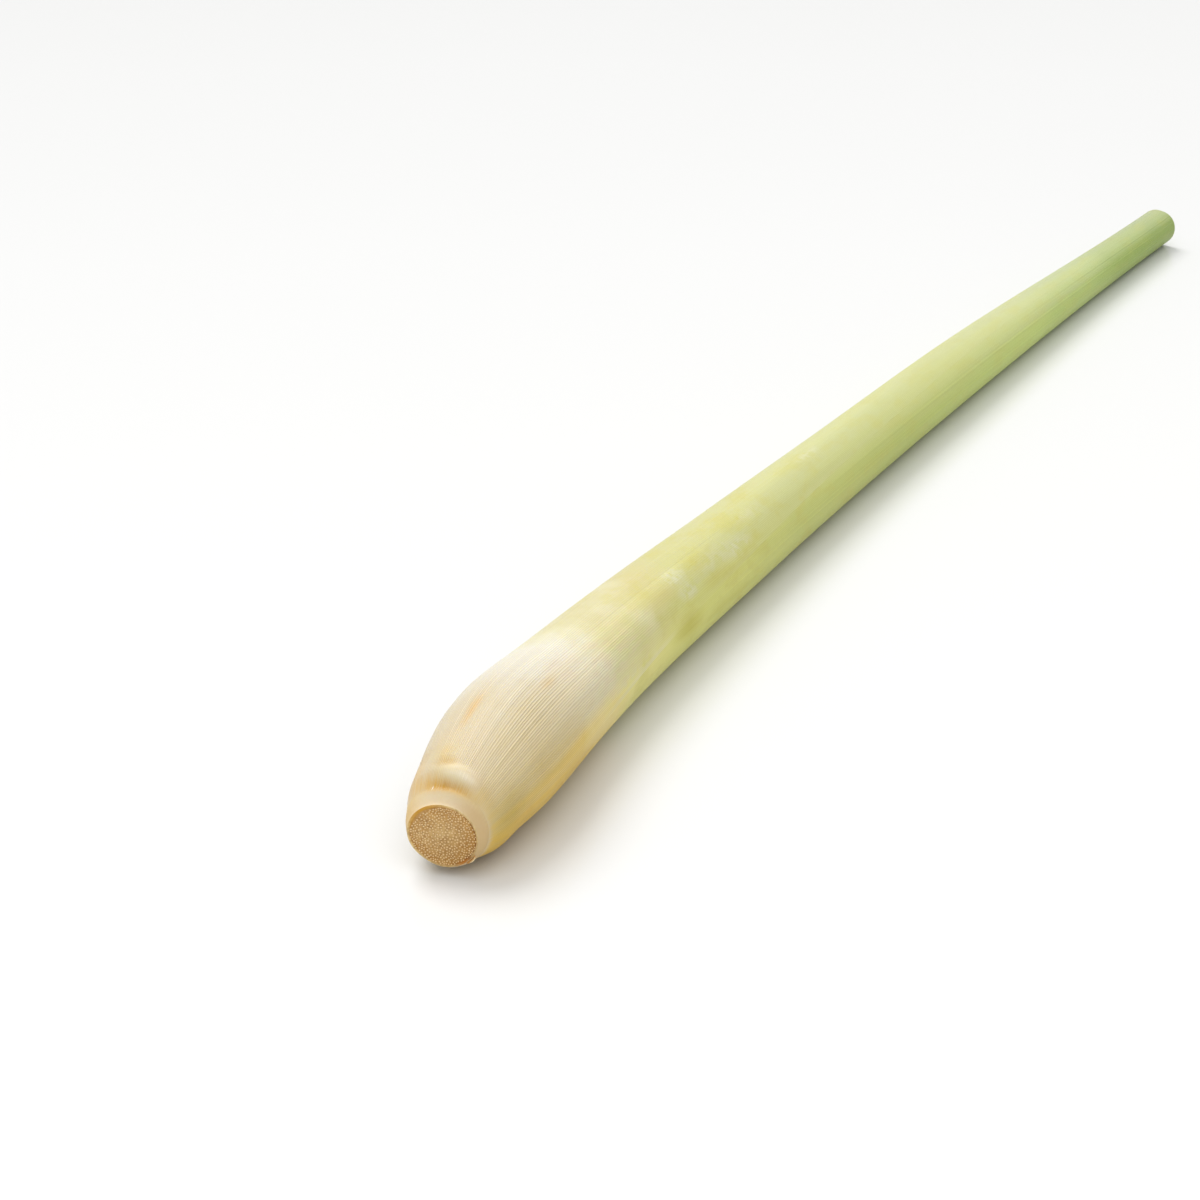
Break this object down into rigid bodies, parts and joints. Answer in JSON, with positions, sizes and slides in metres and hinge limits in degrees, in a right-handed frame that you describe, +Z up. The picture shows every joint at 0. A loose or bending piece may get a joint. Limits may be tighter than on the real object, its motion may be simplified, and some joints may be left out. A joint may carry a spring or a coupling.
{
  "type": "lemongrass stalk",
  "caption": "Cut lemongrass stalk lying on its side: a pale swollen base with its root cut off, leaf sheaths wrapped round a stem, and a level trimmed green tip.",
  "frame": {"origin": "middle of the underside of the stalk's box, on the surface it lies on", "axes": "+X along the stalk from the root cut to the tip, +Z up, +Y to the side the stalk bows towards"},
  "size_m": [0.3938, 0.028, 0.0252],
  "materials": {
    "stem_flesh": "dry fibrous cut, tan with pale vein dots",
    "outer_leaf_skin": "satin waxy leaf skin, cream at the base to pale green at the tip, finely veined lengthwise",
    "inner_leaf_skin": "moist pale leaf flesh",
    "heart_leaf_flesh": "moist pale green leaf flesh"
  },
  "bodies": {
    "root": {"stem": "stem_flesh", "outer_sheath": "outer_leaf_skin", "second_sheath": "inner_leaf_skin", "third_sheath": "inner_leaf_skin", "fourth_sheath": "inner_leaf_skin", "heart_leaf": "heart_leaf_flesh"}
  },
  "joints": []
}
